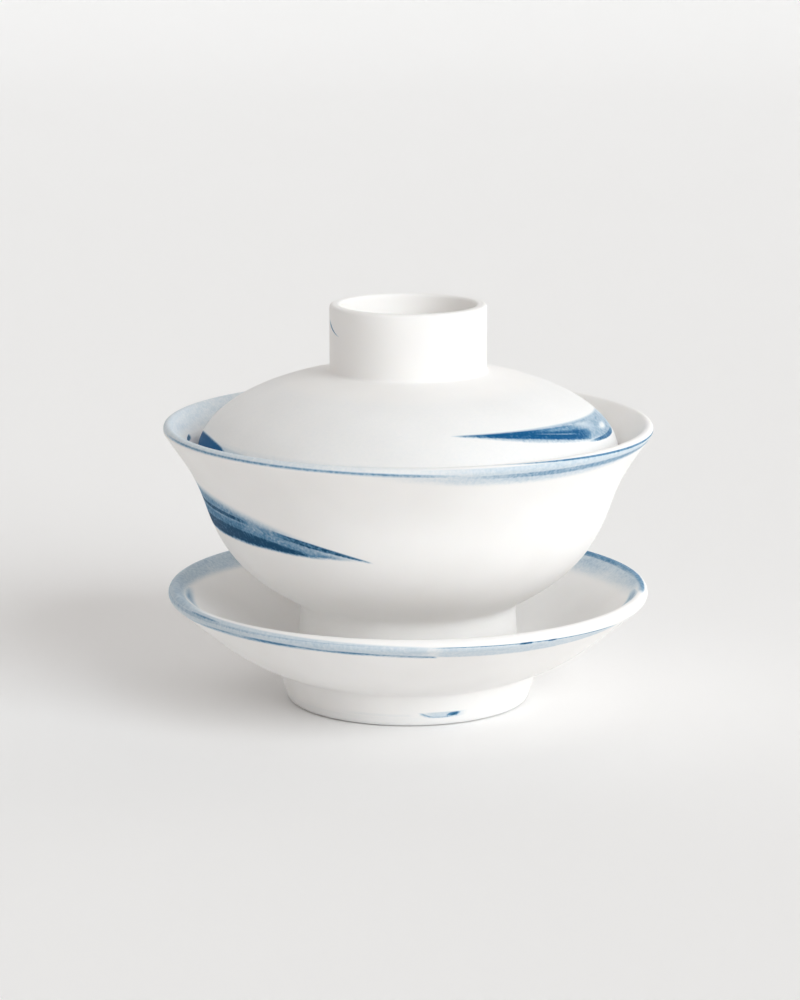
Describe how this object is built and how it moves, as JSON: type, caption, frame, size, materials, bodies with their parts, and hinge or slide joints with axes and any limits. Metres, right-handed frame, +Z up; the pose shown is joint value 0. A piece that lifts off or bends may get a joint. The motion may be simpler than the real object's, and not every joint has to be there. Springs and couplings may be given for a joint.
{
  "type": "gaiwan",
  "caption": "Lidded tea bowl with a flared lip and tall foot, on a footed dished saucer; the domed lid has an open ring knob. White porcelain with blue clay streaks.",
  "frame": {"origin": "centre of the saucer's foot ring, on the surface it stands on", "axes": "+Z up along the common axis of the saucer, bowl and lid; every piece is turned, so X and Y are equivalent"},
  "size_m": [0.105, 0.105, 0.0861],
  "materials": {
    "saucer_porcelain": "unglazed satin-matte warm-white porcelain with cobalt-blue marbled clay along the rim and foot",
    "bowl_porcelain": "unglazed satin-matte warm-white porcelain with a feathered cobalt-blue clay streak and a blue line under the lip",
    "lid_porcelain": "unglazed satin-matte warm-white porcelain with two cobalt-blue clay streaks near the edge"
  },
  "bodies": {
    "saucer": {"saucer": "saucer_porcelain"},
    "bowl": {"bowl": "bowl_porcelain"},
    "lid": {"lid": "lid_porcelain"}
  },
  "joints": [
    {"name": "bowl_lift", "type": "slide", "parent": "saucer", "child": "bowl", "axis": [0, 0, 1], "range_m": [0, 0.05]},
    {"name": "lid_lift", "type": "slide", "parent": "bowl", "child": "lid", "axis": [0, 0, 1], "range_m": [0, 0.04]}
  ]
}
